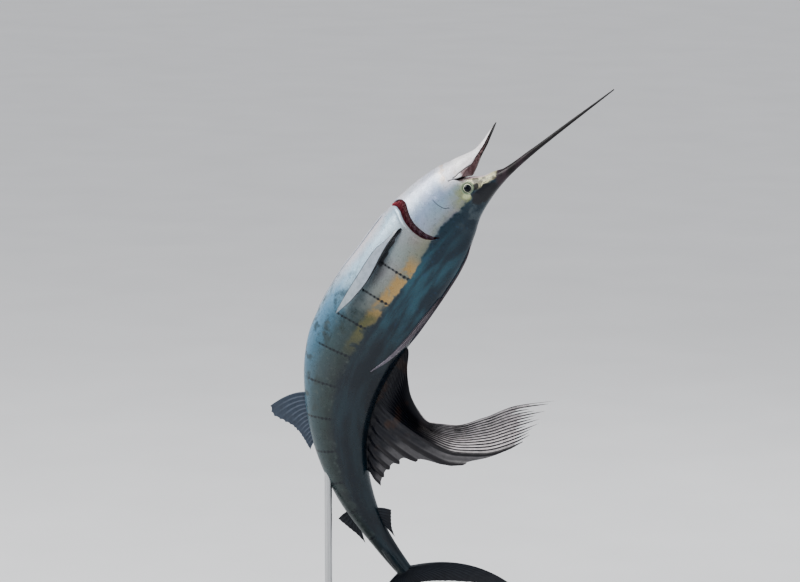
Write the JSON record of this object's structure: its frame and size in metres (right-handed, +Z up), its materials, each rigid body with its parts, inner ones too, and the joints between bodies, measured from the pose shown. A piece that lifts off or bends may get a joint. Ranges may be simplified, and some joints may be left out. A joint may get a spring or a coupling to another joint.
{
  "type": "sailfish display model",
  "caption": "Life-size still model of a leaping sailfish, head up with open jaws and streaming sail, on a flat base with one rod",
  "frame": {"origin": "middle of the underside of the stand's base", "axes": "+Z up from the floor; +X toward the side the bill points to; +Y away from the fish's left flank"},
  "size_m": [1.4513, 0.6, 2.4113],
  "materials": {
    "bill_skin": "wet satin, brown-black",
    "head_skin": "wet sheen, silver to lilac",
    "eye_ball": "clear gloss",
    "gill_filaments": "wet crimson",
    "body_skin": "wet sheen, dark back and silver flank",
    "pale_fin": "wet, silver white",
    "sail_membrane": "wet, near black",
    "dark_fin": "wet, blue-black",
    "stand_paint": "satin dark grey paint",
    "rod_steel": "fine brushed"
  },
  "bodies": {
    "root": {"bill": "bill_skin", "head": "head_skin", "lower_jaw": "head_skin", "eye_left": "eye_ball", "eye_right": "eye_ball", "gill_left": "gill_filaments", "gill_right": "gill_filaments", "torso_front": "body_skin", "torso_mid": "body_skin", "torso_rear": "body_skin", "tail_stock": "body_skin", "breast_fin_left": "pale_fin", "breast_fin_right": "pale_fin", "belly_fin_left": "pale_fin", "belly_fin_right": "pale_fin", "sail_ridge": "sail_membrane", "sail_blade": "sail_membrane", "sail_main": "sail_membrane", "second_dorsal_fin": "dark_fin", "first_anal_fin": "pale_fin", "second_anal_fin": "dark_fin", "tail_fin_upper": "dark_fin", "tail_fin_lower": "dark_fin", "stand_base": "stand_paint", "stand_rod": "rod_steel", "stand_collar": "rod_steel"}
  },
  "joints": []
}
